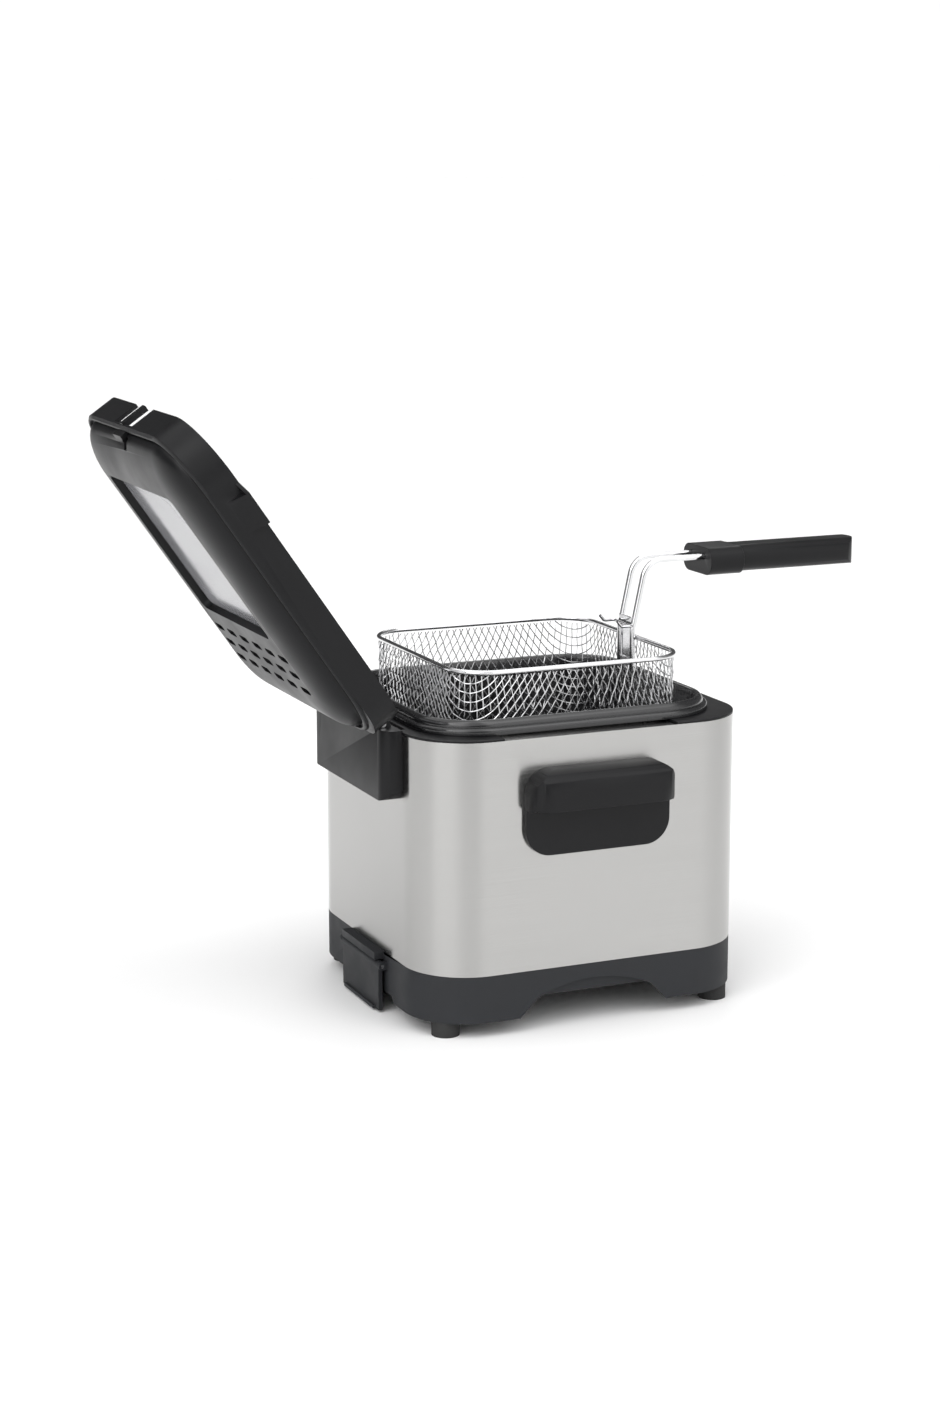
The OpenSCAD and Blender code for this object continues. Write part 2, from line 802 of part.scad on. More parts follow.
// A finger lip that stands out from the band, with its front end cut back
module side_tab() {
    y0 = window_front + 5;
    translate([lid_hw - 1, y0 + 29, z_lid]) rotate([90, 0, 0]) linear_extrude(22)
        polygon([[0, 0], [9.5, 0], [9.5, 2.2], [0, 13]]);
    translate([lid_hw - 1, y0 + 7 + touch, z_lid]) linear_extrude(2.2) polygon([[0, 0], [9.5, 0], [0, -7]]);
}

module lid_shell() {
    color(black) opened() difference() {
        union() {
            difference() {
                union() {
                    lid_body(0);
                    for (i = [0, 1]) mirror([i, 0, 0]) side_tab();
                }
                lid_body(lid_t);
                translate([-notch_w / 2, lid_front - 1, z_lid - 1]) cube([notch_w, 9, lid_band_h - 2]);
            }
            // rib between the two handle rods, standing in the notch
            translate([-rib_w / 2, lid_front - 1, z_lid]) cube([rib_w, lid_t + 1, lid_band_h - 2]);
            // well that holds the window
            translate([0, 0, well_z]) linear_extrude(lid_h + z_lid - well_z - 1) difference() {
                window_plan(-well_t);
                window_plan(0);
            }
            translate([0, 0, well_z]) linear_extrude(2) difference() {
                window_plan(-well_t);
                window_plan(ledge);
            }
            at_posts() translate([0, 0, liner_z + liner_t])
                cylinder(h = lid_band_h + 7 - liner_z - liner_t, r = post_r);
            // small block over the notch that latches on the basket handle
            translate([-latch_w / 2, lid_front + groove_in, z_lid + lid_band_h - lid_t])
                cube([latch_w, latch_l, lid_t + latch_rise]);
            at_knuckles() {
                rod_x(0, hinge_y, hinge_z, knuckle_r, knuckle_w);
                translate([-knuckle_w / 2, lid_back - lid_t, z_lid])
                    cube([knuckle_w, hinge_y - lid_back + lid_t, arm_h]);
            }
        }
        translate([0, 0, z_lid + lid_h - window_deep]) linear_extrude(window_deep + 1) window_plan(0);
        translate([0, 0, glass_z - gasket_t]) linear_extrude(window_deep + 9) window_plan(0);
        translate([0, 0, z_lid + lid_band_h]) linear_extrude(lid_h) vents(vent_l, vent_w);
        at_posts() translate([0, 0, liner_z]) cylinder(h = 8, r = 1.2);
        // recess beside the latch block
        translate([-latch_w / 2 - 3, lid_front + groove_in + 3, z_lid + lid_band_h + 1])
            cube([5, 6, lid_crown_h]);
        at_knuckles() rod_x(0, hinge_y, hinge_z, hinge_pin_r + pin_gap, pin_l);
    }
}

module lid_liner() {
    i = lid_t + 1.5;
    color(bright) opened() difference() {
        translate([0, lid_y, z_lid + liner_z]) linear_extrude(liner_t)
            plan(lid_hw - i, lid_hl - i, lid_r - i);
        translate([0, 0, z_lid + liner_z - 1]) linear_extrude(4) {
            window_plan(ledge);
            translate([0, filter_y]) plan(filter_hw - 3, filter_hl - 3, 4);
        }
        at_posts() translate([0, 0, liner_z - 1]) cylinder(h = 4, r = 1.7);
    }
}

module lid_window() {
    color([0.7, 0.72, 0.75, 0.5]) opened() translate([0, 0, glass_z]) linear_extrude(glass_t)
        window_plan(0.2);
}

module window_gasket() {
    color([0.05, 0.05, 0.05]) opened() translate([0, 0, glass_z - gasket_t])
        linear_extrude(gasket_t) difference() {
            window_plan(0.2);
            window_plan(ledge);
        }
}

filter_top = z_lid + lid_h - lid_t - 1;

module steam_filter() {
    z = z_lid + liner_z + liner_t;
    color([0.9, 0.9, 0.88]) opened() translate([0, filter_y, z]) linear_extrude(filter_top - z)
        plan(filter_hw, filter_hl, 4);
}

module filter_cover() {
    color(bright) opened() translate([0, 0, z_lid + liner_z - 1]) linear_extrude(1) difference() {
        translate([0, filter_y]) plan(filter_hw, filter_hl, 5);
        vents(vent_l - 4, vent_w - 1);
    }
}

module liner_screws() {
    color(bright) opened() at_posts() {
        translate([0, 0, liner_z - 1.4]) cylinder(h = 1.4, r = 3);
        translate([0, 0, liner_z]) cylinder(h = 6, r = 1.2);
    }
}

// ---- Basket, drawn lifted to drain ----

module basket_rim() {
    color(chrome) translate([0, pot_y, z_rim])
        carry_round(basket_hw - basket_r, basket_hl - basket_r) translate([basket_r, 0]) circle(d = rim_d);
}

// The woven wire as one thin tray
module basket_mesh() {
    top = z_rim - rim_d / 2;
    r = basket_r;
    f = mesh_fillet;
    t = mesh_t;
    x = basket_hw - r;
    y = basket_hl - r;
    z = z_rim - basket_h;
    inner = concat([[0, z + t]], arc([r - f, z + f], f - t, -90, 0), [[r - t, top]]);
    outer = concat([[r, top]], arc([r - f, z + f], f, 0, -90), [[0, z]]);
    color(chrome) translate([0, pot_y, 0]) {
        carry_round(x, y) polygon(concat(inner, outer));
        translate([-x, -y, z]) cube([2 * x, 2 * y, t]);
    }
}

module handle_rod(x) {
    foot = z_rim - 30;
    knee = z_rim + 4;
    slant = (z_rods - knee - rod_bend) / cos(rod_tilt);
    run = rod_y - rod_bend - slant * sin(rod_tilt) - grip_y + flange_l + rod_in_grip;
    steps = [[knee - foot, rod_tilt, rod_bend], [slant, 90 - rod_tilt, rod_bend], [run, 0, 0]];
    color(chrome) translate([x, rod_y, foot]) bent_bar(rod_d, steps);
}

module left_handle_rod() {
    handle_rod(-rod_pitch / 2);
}

module right_handle_rod() {
    handle_rod(rod_pitch / 2);
}

module handle_grip() {
    y = grip_y - flange_l;
    z = z_rods - grip_drop;
    w = rod_pitch + rod_d + 6;
    color(black) difference() {
        union() {
            // guard: a plate that widens away from the basket, then the long grip with a round end
            translate([0, grip_y, z]) rotate([90, 0, 0]) linear_extrude(flange_l)
                plan(flange_w / 2, flange_h / 2, 8);
            translate([0, y + 1, z]) rotate([90, 0, 0]) linear_extrude(grip_l - w / 2 + 1)
                plan(w / 2, grip_h / 2, grip_h / 2 - 1);
            intersection() {
                translate([0, y - grip_l + w / 2, z - grip_h / 2]) cylinder(h = grip_h, r = w / 2);
                translate([0, y - 1, z]) rotate([90, 0, 0]) linear_extrude(grip_l)
                    plan(w / 2, grip_h / 2, grip_h / 2 - 1);
            }
        }
        for (i = [-1, 1]) translate([i * rod_pitch / 2, 0, 0])
            rod_y_dir(0, y - rod_in_grip, z_rods, rod_d / 2, rod_in_grip + flange_l + 1);
    }
}

// Plate between the rods, bent over the rim
module handle_socket() {
    w = rod_pitch - rod_d - 2;
    y = rod_y + rod_d / 2 - 3;
    color(chrome) {
        translate([-w / 2, y, z_rim - 24]) cube([w, 1, 37]);
        for (z = [z_rim - 20, z_rim + 8]) translate([-rod_pitch / 2, y + 1, z]) cube([rod_pitch, 1, 6]);
    }
}

// Bent wire that hangs the basket on the pot's rim
module drain_hook() {
    z = z_rim + 9;
    y = rod_y + rod_d / 2 + 0.5;
    x = rod_pitch / 2 + 4;
    color(chrome) {
        rod_x(0, y, z, 1.3, 2 * x + 2.6);
        for (i = [-1, 1]) translate([i * x, y, z]) {
            rotate([-90, 0, 0]) cylinder(h = 8, d = 2);
            translate([0, 8, 0]) sphere(d = 2 * bead);
            translate([0, 8, 0]) rotate([-35, 0, 0]) cylinder(h = 5, d = 2);
        }
    }
}

// ---- Cord compartment ----

module cord_box() {
    h = box_top - box_bottom;
    color(charcoal) difference() {
        translate([-box_hw - box_t, hl - base_t - box_deep, box_bottom - box_t])
            cube([2 * (box_hw + box_t), box_deep, h + 2 * box_t]);
        translate([-box_hw, hl - base_t - box_deep + box_t, box_bottom]) cube([2 * box_hw, box_deep, h]);
        rod_y_dir(0, hl - base_t - box_deep - 1, gland_z, gland_r, box_t + 2);
    }
}

module cord_gland() {
    y = hl - base_t - box_deep;
    color(black) difference() {
        union() {
            rod_y_dir(0, y - 3, gland_z, gland_r, box_t + 6);
            rod_y_dir(0, y + box_t, gland_z, gland_r + 2, 2);
        }
        rod_y_dir(0, y - 4, gland_z, gland_bore_r, box_t + 9);
    }
}

module cord_flap() {
    color(charcoal) difference() {
        union() {
            translate([-flap_hw, flap_axis_y - 1.3, flap_bottom])
                cube([2 * flap_hw, flap_t, flap_axis_z - flap_bottom]);
            translate([-flap_hw + 6, flap_axis_y, flap_bottom]) cube([2 * flap_hw - 12, 3.4, 2.5]);
            rod_x(0, flap_axis_y, flap_axis_z, flap_knuckle_r, 2 * flap_hw);
        }
        rod_x(0, flap_axis_y, flap_axis_z, flap_pin_r + pin_gap, 2 * flap_hw + 2);
    }
}

module flap_pin() {
    color(chrome) rod_x(0, flap_axis_y, flap_axis_z, flap_pin_r, 2 * flap_hw + 6.6);
}

steel_shell();
base();
bottom_plate();
front_left_foot();
front_right_foot();
rear_left_foot();
rear_right_foot();
foot_screws();
front_cap();
rear_cap();
pot();
heating_element();
element_clamp();
clamp_stud();
heat_shield();
thermostat();
control_shaft();
thermal_cutout();
terminal_block();
control_panel();
power_lens();
ready_lens();
knob();
hinge_bracket();
left_hinge_pin();
right_hinge_pin();
bracket_screws();
left_carry_handle();
right_carry_handle();
handle_screws();
lid_shell();
lid_liner();
lid_window();
window_gasket();
steam_filter();
filter_cover();
liner_screws();
basket_rim();
basket_mesh();
left_handle_rod();
right_handle_rod();
handle_grip();
handle_socket();
drain_hook();
cord_box();
cord_gland();
cord_flap();
flap_pin();
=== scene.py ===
import json
import math

import bmesh
import bpy
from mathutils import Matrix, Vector


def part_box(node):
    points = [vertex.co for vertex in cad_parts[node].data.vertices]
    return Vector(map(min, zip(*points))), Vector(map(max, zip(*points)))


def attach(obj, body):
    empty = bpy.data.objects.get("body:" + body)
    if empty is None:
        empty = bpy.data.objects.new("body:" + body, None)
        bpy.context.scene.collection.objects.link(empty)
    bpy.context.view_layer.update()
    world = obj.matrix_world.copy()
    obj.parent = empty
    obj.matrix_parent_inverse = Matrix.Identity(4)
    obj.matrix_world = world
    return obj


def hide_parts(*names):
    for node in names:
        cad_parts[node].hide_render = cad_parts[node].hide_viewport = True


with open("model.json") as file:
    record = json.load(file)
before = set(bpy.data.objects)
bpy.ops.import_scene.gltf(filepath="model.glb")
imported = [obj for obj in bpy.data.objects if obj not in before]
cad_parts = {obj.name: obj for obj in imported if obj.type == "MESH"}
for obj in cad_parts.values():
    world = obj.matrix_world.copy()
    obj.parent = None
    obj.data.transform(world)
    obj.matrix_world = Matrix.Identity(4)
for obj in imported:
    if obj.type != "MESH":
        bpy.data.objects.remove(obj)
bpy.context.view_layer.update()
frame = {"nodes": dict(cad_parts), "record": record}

bl_info = {
    "name": "Compact deep fryer",
    "version": (1, 0, 0),
    "blender": (4, 5, 0),
    "location": "View3D > Sidebar > Fryer",
    "description": "Finishes a compact deep fryer: steel body, lid with a window, wire basket and handles",
    "category": "Object",
}

MM = 0.001
QUARTER_TURN = 0.25
NODES = frame["nodes"]


# ---------------------------------------------------------------- sizes and colours

class FryerFinish(bpy.types.PropertyGroup):
    """Colours of the fryer"""

    steel: bpy.props.FloatVectorProperty(
        name="Steel", description="Brushed steel of the body", subtype="COLOR", size=3,
        default=(0.43, 0.426, 0.418), min=0, max=1)
    black: bpy.props.FloatVectorProperty(
        name="Black plastic", description="Satin plastic of the lid, handles and caps",
        subtype="COLOR", size=3, default=(0.007, 0.007, 0.0078), min=0, max=1)
    charcoal: bpy.props.FloatVectorProperty(
        name="Base plastic", description="Matte plastic of the base", subtype="COLOR", size=3,
        default=(0.016, 0.017, 0.0195), min=0, max=1)
    chrome: bpy.props.FloatVectorProperty(
        name="Chrome", description="Plated wire and rods", subtype="COLOR", size=3,
        default=(0.74, 0.74, 0.75), min=0, max=1)
    coating: bpy.props.FloatVectorProperty(
        name="Non-stick coating", description="Coating of the pot", subtype="COLOR", size=3,
        default=(0.010, 0.010, 0.011), min=0, max=1)
    glass: bpy.props.FloatVectorProperty(
        name="Window", description="Glass of the lid's window", subtype="COLOR", size=3,
        default=(0.33, 0.33, 0.35), min=0, max=1)


class FryerBasket(bpy.types.PropertyGroup):
    """Wire of the basket"""

    wire_r: bpy.props.FloatProperty(
        name="Wire radius", description="Radius of the woven wire", unit="LENGTH", default=0.36 * MM)
    cell: bpy.props.FloatProperty(
        name="Cell", description="Distance between crossings, along a side of the flat cloth",
        unit="LENGTH", default=10.5 * MM)
    corner_r: bpy.props.FloatProperty(
        name="Corner radius", description="Radius of the basket's corners in plan",
        unit="LENGTH", default=26 * MM)
    fold_r: bpy.props.FloatProperty(
        name="Fold radius", description="Radius between the sides and the floor",
        unit="LENGTH", default=12 * MM)


class FryerHandle(bpy.types.PropertyGroup):
    """Handle of the basket"""

    rod_r: bpy.props.FloatProperty(
        name="Rod radius", description="Radius of the two rods", unit="LENGTH", default=2 * MM)
    bend_r: bpy.props.FloatProperty(
        name="Bend radius", description="Radius of the bends in the rods", unit="LENGTH", default=14 * MM)
    tilt: bpy.props.FloatProperty(
        name="Tilt", description="Lean of the rods above the rim", subtype="ANGLE", default=math.radians(12))
    clip_h: bpy.props.FloatProperty(
        name="Clip height", description="Length of rod that the clip holds", unit="LENGTH", default=34 * MM)
    hook_r: bpy.props.FloatProperty(
        name="Hook radius", description="Radius of the hook's wire", unit="LENGTH", default=1 * MM)
    hook_tip: bpy.props.FloatProperty(
        name="Hook tip", description="Distance that the hook's tips rise over", unit="LENGTH", default=3 * MM)
    grip_edge: bpy.props.FloatProperty(
        name="Grip edge", description="Rounding of the grip's edges", unit="LENGTH", default=1.5 * MM)


class FryerStage(bpy.types.PropertyGroup):
    """Camera, light and floor"""

    camera_at: bpy.props.FloatVectorProperty(
        name="Camera", description="Place of the camera", subtype="XYZ", size=3,
        default=(-1.5754, 0.7288, 0.5570))
    heading: bpy.props.FloatProperty(
        name="Heading", description="Turn of the camera about the vertical", subtype="ANGLE",
        default=math.radians(-113.6))
    pitch: bpy.props.FloatProperty(
        name="Pitch", description="Angle that the camera looks down", subtype="ANGLE",
        default=math.radians(12.1))
    lens: bpy.props.FloatProperty(name="Lens", description="Focal length in millimetres", default=68.3)
    overhead: bpy.props.FloatProperty(
        name="Overhead light", description="Strength of the soft light from above", default=2.5)
    floor: bpy.props.FloatVectorProperty(
        name="Floor", description="Colour of the floor", subtype="COLOR", size=3,
        default=(0.93, 0.93, 0.93), min=0, max=1)
    floor_size: bpy.props.FloatProperty(
        name="Floor size", description="Half the width of the floor", unit="LENGTH", default=30)
    panels: bpy.props.FloatProperty(
        name="Panels", description="Strength of the soft panels around the fryer", default=1.7)
    backdrop: bpy.props.FloatProperty(
        name="Backdrop", description="Brightness of the white behind the fryer", default=1.1)


# ---------------------------------------------------------------- finishes

def start_material(name, colour, metallic=0.0, roughness=0.5, **more):
    """A new material with its plain values on the shader's own sockets."""
    material = bpy.data.materials.new(name)
    material.use_nodes = True
    tree = material.node_tree
    shader = tree.nodes["Principled BSDF"]
    shader.inputs["Base Color"].default_value = (*colour, 1)
    shader.inputs["Metallic"].default_value = metallic
    shader.inputs["Roughness"].default_value = roughness
    for socket, value in more.items():
        shader.inputs[socket.replace("_", " ")].default_value = value
    material.diffuse_color = (*colour, 1)
    return material, tree, shader


def mapped(tree, stretch=(1, 1, 1)):
    coords = tree.nodes.new("ShaderNodeTexCoord")
    mapping = tree.nodes.new("ShaderNodeMapping")
    mapping.inputs["Scale"].default_value = stretch
    tree.links.new(coords.outputs["Object"], mapping.inputs["Vector"])
    return mapping.outputs["Vector"]


def noise(tree, scale, detail=2.0, stretch=(1, 1, 1)):
    texture = tree.nodes.new("ShaderNodeTexNoise")
    texture.inputs["Scale"].default_value = scale
    texture.inputs["Detail"].default_value = detail
    tree.links.new(mapped(tree, stretch), texture.inputs["Vector"])
    return texture.outputs["Fac"]


def cells(tree, scale):
    texture = tree.nodes.new("ShaderNodeTexVoronoi")
    texture.inputs["Scale"].default_value = scale
    tree.links.new(mapped(tree), texture.inputs["Vector"])
    return texture.outputs["Distance"]


def spread(tree, value, low, high, socket, span=(0.3, 0.7)):
    """Spreads a pattern's values between low and high, on a socket of the shader."""
    fit = tree.nodes.new("ShaderNodeMapRange")
    fit.inputs["From Min"].default_value = span[0]
    fit.inputs["From Max"].default_value = span[1]
    fit.inputs["To Min"].default_value = low
    fit.inputs["To Max"].default_value = high
    tree.links.new(value, fit.inputs["Value"])
    tree.links.new(fit.outputs["Result"], socket)


def tint(tree, value, first, second, socket, span=(0.3, 0.7)):
    """Mixes two colours by a pattern."""
    ramp = tree.nodes.new("ShaderNodeValToRGB")
    ramp.color_ramp.elements[0].position = span[0]
    ramp.color_ramp.elements[1].position = span[1]
    ramp.color_ramp.elements[0].color = (*first, 1)
    ramp.color_ramp.elements[1].color = (*second, 1)
    tree.links.new(value, ramp.inputs["Fac"])
    tree.links.new(ramp.outputs["Color"], socket)


def bump(tree, shader, *layers):
    """Stacks bump layers, each of (pattern, height in metres, strength)."""
    last = None
    for value, height, strength in layers:
        node = tree.nodes.new("ShaderNodeBump")
        node.inputs["Distance"].default_value = height
        node.inputs["Strength"].default_value = strength
        tree.links.new(value, node.inputs["Height"])
        if last:
            tree.links.new(last, node.inputs["Normal"])
        last = node.outputs["Normal"]
    tree.links.new(last, shader.inputs["Normal"])


def shade(colour, factor):
    return tuple(min(1, c * factor) for c in colour)


def brushed_steel(name, colour, stretch):
    """Sheet steel brushed along one direction, with faint handling marks."""
    material, tree, shader = start_material(
        name, colour, metallic=1.0, roughness=0.2, Anisotropic=0.85, Anisotropic_Rotation=QUARTER_TURN)
    grain = noise(tree, 1.0, 3.0, stretch)
    broad = noise(tree, 7.0, 3.0)
    spread(tree, grain, 0.17, 0.25, shader.inputs["Roughness"])
    tint(tree, grain, shade(colour, 0.96), shade(colour, 1.03), shader.inputs["Base Color"])
    bump(tree, shader, (grain, 0.01 * MM, 0.15), (broad, 0.2 * MM, 0.04))
    return material


def satin_plastic(name, colour):
    """Injection moulding with a fine satin grain and slightly polished high spots."""
    material, tree, shader = start_material(name, colour, roughness=0.34, Specular_IOR_Level=0.2)
    grain = noise(tree, 2600.0, 2.0)
    cloud = noise(tree, 28.0, 4.0)
    spread(tree, cloud, 0.31, 0.43, shader.inputs["Roughness"])
    tint(tree, cloud, shade(colour, 0.92), shade(colour, 1.1), shader.inputs["Base Color"])
    bump(tree, shader, (grain, 0.02 * MM, 0.35), (cloud, 0.25 * MM, 0.06))
    return material


def matte_plastic(name, colour):
    """Moulding with a spark-eroded texture."""
    material, tree, shader = start_material(name, colour, roughness=0.58, Specular_IOR_Level=0.3)
    grain = cells(tree, 1500.0)
    cloud = noise(tree, 40.0, 4.0)
    spread(tree, cloud, 0.5, 0.66, shader.inputs["Roughness"])
    tint(tree, cloud, shade(colour, 0.9), shade(colour, 1.15), shader.inputs["Base Color"])
    bump(tree, shader, (grain, 0.05 * MM, 0.4), (cloud, 0.2 * MM, 0.06))
    return material


def nonstick(name, colour):
    """Glossy coating with an orange-peel surface and fine flecks."""
    material, tree, shader = start_material(
        name, colour, roughness=0.2, Coat_Weight=0.4, Coat_Roughness=0.12)
    peel = noise(tree, 350.0, 3.0)
    flecks = cells(tree, 900.0)
    spread(tree, peel, 0.16, 0.28, shader.inputs["Roughness"])
    tint(tree, flecks, shade(colour, 3.0), colour, shader.inputs["Base Color"], (0.05, 0.14))
    bump(tree, shader, (peel, 0.05 * MM, 0.3))
    return material


def plated(name, colour, roughness=0.1):
    """Bright plating with faint smears and pits."""
    material, tree, shader = start_material(name, colour, metallic=1.0, roughness=roughness)
    smear = noise(tree, 60.0, 5.0, (1, 1, 0.4))
    pits = noise(tree, 900.0, 2.0)
    spread(tree, smear, roughness * 0.6, roughness * 1.9, shader.inputs["Roughness"])
    tint(tree, smear, shade(colour, 0.9), shade(colour, 1.05), shader.inputs["Base Color"])
    bump(tree, shader, (pits, 0.02 * MM, 0.15))
    return material


def zinc_sheet(name, colour):
    """Galvanised sheet with crystals in its coat."""
    material, tree, shader = start_material(name, colour, metallic=1.0, roughness=0.38)
    crystals = cells(tree, 90.0)
    spread(tree, crystals, 0.3, 0.5, shader.inputs["Roughness"], (0.1, 0.6))
    tint(tree, crystals, shade(colour, 0.8), shade(colour, 1.1), shader.inputs["Base Color"], (0.1, 0.6))
    bump(tree, shader, (crystals, 0.02 * MM, 0.2))
    return material


def smoky_glass(name, colour):
    """Tempered glass with a grey film of steam on it."""
    material, tree, shader = start_material(
        name, colour, roughness=0.2, IOR=1.5, Transmission_Weight=0.25)
    film = noise(tree, 16.0, 3.0, (0.35, 1, 1))
    spread(tree, film, 0.08, 0.24, shader.inputs["Roughness"])
    tint(tree, film, shade(colour, 0.85), shade(colour, 1.12), shader.inputs["Base Color"])
    return material


def tinted_lens(name, colour):
    """Moulded light pipe, ribbed on the inside."""
    material, tree, shader = start_material(
        name, colour, roughness=0.15, IOR=1.5, Transmission_Weight=0.5)
    ribs = noise(tree, 800.0, 0.0)
    tint(tree, ribs, shade(colour, 0.7), shade(colour, 1.2), shader.inputs["Base Color"])
    bump(tree, shader, (ribs, 0.05 * MM, 0.2))
    return material


def rubber(name, colour):
    """Soft rubber with dust in its grain."""
    material, tree, shader = start_material(name, colour, roughness=0.8, Specular_IOR_Level=0.3)
    grain = noise(tree, 1200.0, 3.0)
    dust = noise(tree, 90.0, 4.0)
    spread(tree, dust, 0.7, 0.9, shader.inputs["Roughness"])
    tint(tree, dust, colour, shade(colour, 1.7), shader.inputs["Base Color"])
    bump(tree, shader, (grain, 0.06 * MM, 0.4))
    return material


def insulator(name, colour):
    """Fired ceramic or mineral-filled moulding."""
    material, tree, shader = start_material(name, colour, roughness=0.6)
    speck = noise(tree, 600.0, 4.0)
    spread(tree, speck, 0.5, 0.72, shader.inputs["Roughness"])
    tint(tree, speck, shade(colour, 0.85), shade(colour, 1.05), shader.inputs["Base Color"])
    bump(tree, shader, (speck, 0.05 * MM, 0.3))
    return material


def felt(name, colour):
    """Matted fibres."""
    material, tree, shader = start_material(
        name, colour, roughness=0.95, Sheen_Weight=0.3, Sheen_Roughness=0.6)
    fibre = noise(tree, 500.0, 6.0, (1, 0.25, 1))
    cross = noise(tree, 500.0, 6.0, (0.25, 1, 1))
    tint(tree, fibre, shade(colour, 0.75), colour, shader.inputs["Base Color"])
    bump(tree, shader, (fibre, 0.3 * MM, 0.5), (cross, 0.3 * MM, 0.5))
    return material


def oxidised(name, colour):
    """Heater tube, blued and browned by heat."""
    material, tree, shader = start_material(name, colour, metallic=0.8, roughness=0.5)
    browned, blued = (0.10, 0.085, 0.08), (0.17, 0.15, 0.16)
    heat = noise(tree, 45.0, 5.0)
    spread(tree, heat, 0.4, 0.62, shader.inputs["Roughness"])
    tint(tree, heat, browned, blued, shader.inputs["Base Color"])
    bump(tree, shader, (heat, 0.1 * MM, 0.2))
    return material


def make_finishes(finish):
    """One finish for each material slot of the record."""
    return {
        "brushed_steel": brushed_steel("brushed_steel", finish.steel, (9, 9, 2600)),
        "black_plastic": satin_plastic("black_plastic", finish.black),
        "base_plastic": matte_plastic("base_plastic", finish.charcoal),
        "nonstick": nonstick("nonstick", finish.coating),
        "chrome": plated("chrome", finish.chrome),
        "wire_mesh": plated("wire_mesh", shade(finish.chrome, 0.85), 0.2),
        "screws": plated("screws", (0.5, 0.5, 0.5), 0.25),
        "plated_steel": zinc_sheet("plated_steel", (0.55, 0.56, 0.57)),
        "aluminium": brushed_steel("aluminium", (0.68, 0.68, 0.69), (5, 1400, 5)),
        "window_glass": smoky_glass("window_glass", finish.glass),
        "rubber": rubber("rubber", (0.02, 0.02, 0.02)),
        "filter_felt": felt("filter_felt", (0.7, 0.7, 0.66)),
        "ceramic": insulator("ceramic", (0.7, 0.67, 0.58)),
        "heater": oxidised("heater", (0.13, 0.12, 0.12)),
        "brass": plated("brass", (0.68, 0.52, 0.27), 0.25),
        "red_lens": tinted_lens("red_lens", (0.6, 0.03, 0.02)),
        "green_lens": tinted_lens("green_lens", (0.03, 0.42, 0.08)),
    }


# in degrees: an edge that turns by more than this stays sharp, on a moulded piece and on a wire
EDGE_ANGLE = 46
WIRE_ANGLE = 50

FINISHES = {}
SLOT_OF = {s["node"]: s["material_slot"] for s in frame["record"]["subparts"]}
BODY_OF = {n: body for body, names in frame["record"]["behaviour"]["bodies"].items() for n in names}


# ---------------------------------------------------------------- mesh tools

def finish_node(*names):
    """Gives CAD nodes that keep their own shape the finish of their slot."""
    for name in names:
        node = NODES[name]
        if not node.material_slots:
            node.data.materials.append(None)
        for place in node.material_slots:
            place.material = FINISHES[SLOT_OF[name]]


def add_piece(name, bm, node, sharp):
    """Makes an object of a bmesh that stands for a CAD node, with its body, slot and finish."""
    mesh = bpy.data.meshes.new(name)
    bm.to_mesh(mesh)
    bm.free()
    mesh.polygons.foreach_set("use_smooth", [True] * len(mesh.polygons))
    mesh.set_sharp_from_angle(angle=math.radians(sharp))
    piece = bpy.data.objects.new(name, mesh)
    bpy.context.scene.collection.objects.link(piece)
    mesh.materials.append(FINISHES[SLOT_OF[node]])
    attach(piece, BODY_OF[node])
    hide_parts(node)
    return piece


def rounded_edges(piece, width, segments, angle):
    """Live bevel on a piece's sharp edges."""
    bevel = piece.modifiers.new("rounded edges", "BEVEL")
    bevel.width = width
    bevel.segments = segments
    bevel.limit_method = "ANGLE"
    bevel.angle_limit = math.radians(angle)
    bevel.harden_normals = True


def softened(node, name, width, segments=2):
    """Stands for a CAD node: a copy with its triangles joined into faces and its edges rounded."""
    bm = bmesh.new()
    bm.from_mesh(NODES[node].data)
    bmesh.ops.remove_doubles(bm, verts=bm.verts, dist=0.002 * MM)
    bmesh.ops.dissolve_limit(
        bm, angle_limit=math.radians(0.4), verts=bm.verts, edges=bm.edges, delimit={"NORMAL"})
    piece = add_piece(name, bm, node, EDGE_ANGLE)
    rounded_edges(piece, width, segments, EDGE_ANGLE)


def wires(name, node, runs, radius, sides, closed=False):
    """Stands for a CAD node: round wires along lists of points, as one mesh."""
    curve = bpy.data.curves.new(name, "CURVE")
    curve.dimensions = "3D"
    curve.bevel_depth = radius
    curve.bevel_resolution = sides
    curve.use_fill_caps = True
    for points in runs:
        spline = curve.splines.new("POLY")
        spline.points.add(len(points) - 1)
        for place, point in zip(spline.points, points):
            place.co = (*point, 1)
        spline.use_cyclic_u = closed
    holder = bpy.data.objects.new(name + "_line", curve)
    bpy.context.scene.collection.objects.link(holder)
    bpy.context.view_layer.update()
    graph = bpy.context.evaluated_depsgraph_get()
    bm = bmesh.new()
    bm.from_mesh(bpy.data.meshes.new_from_object(holder.evaluated_get(graph)))
    bpy.data.objects.remove(holder)
    bmesh.ops.remove_doubles(bm, verts=bm.verts, dist=0.0001 * MM)
    bmesh.ops.recalc_face_normals(bm, faces=bm.faces)
    add_piece(name, bm, node, WIRE_ANGLE)


